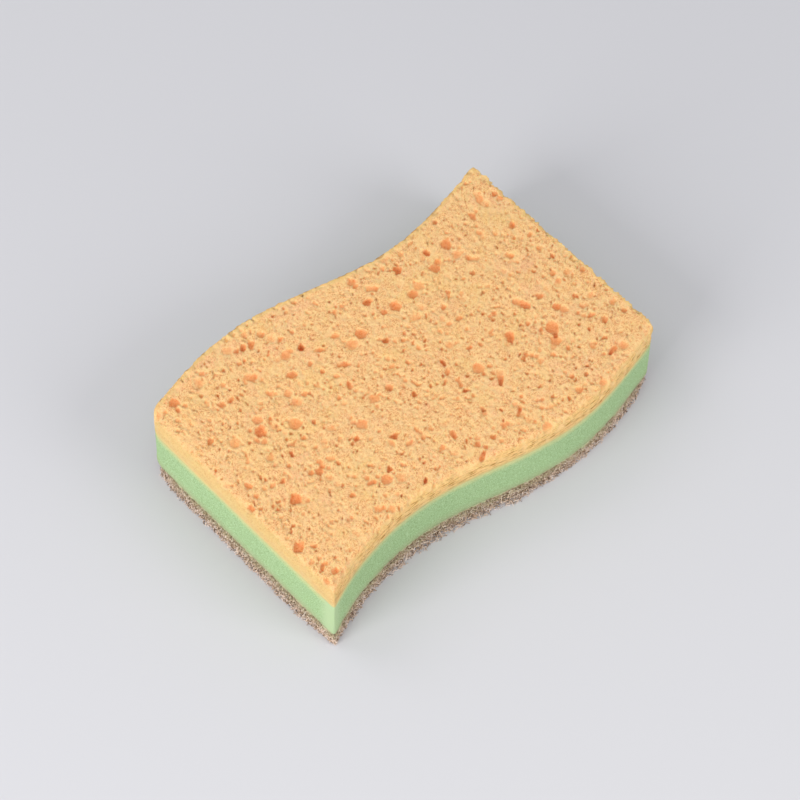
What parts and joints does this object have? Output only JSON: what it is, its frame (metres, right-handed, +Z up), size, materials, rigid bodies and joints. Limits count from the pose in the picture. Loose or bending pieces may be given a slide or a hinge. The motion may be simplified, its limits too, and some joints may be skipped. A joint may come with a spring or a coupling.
{
  "type": "cleaning sponge",
  "caption": "Wave-sided cleaning sponge: porous orange cellulose on green foam, with a brown scouring pad underneath.",
  "frame": {"origin": "on the ground under the middle of the sponge's bounding box, on the flat underside of the scouring pad", "axes": "+X along the sponge's length, +Y across it, +Z up from the scouring pad through the foam to the cellulose"},
  "size_m": [0.1332, 0.0896, 0.0245],
  "materials": {
    "cellulose": "dry open-pored cellulose sponge, matte",
    "foam": "fine-celled soft foam, matte",
    "pad": "rough non-woven scouring fibres, matte"
  },
  "bodies": {
    "root": {"cellulose_layer": "cellulose", "foam_core": "foam", "scouring_pad": "pad"}
  },
  "joints": []
}
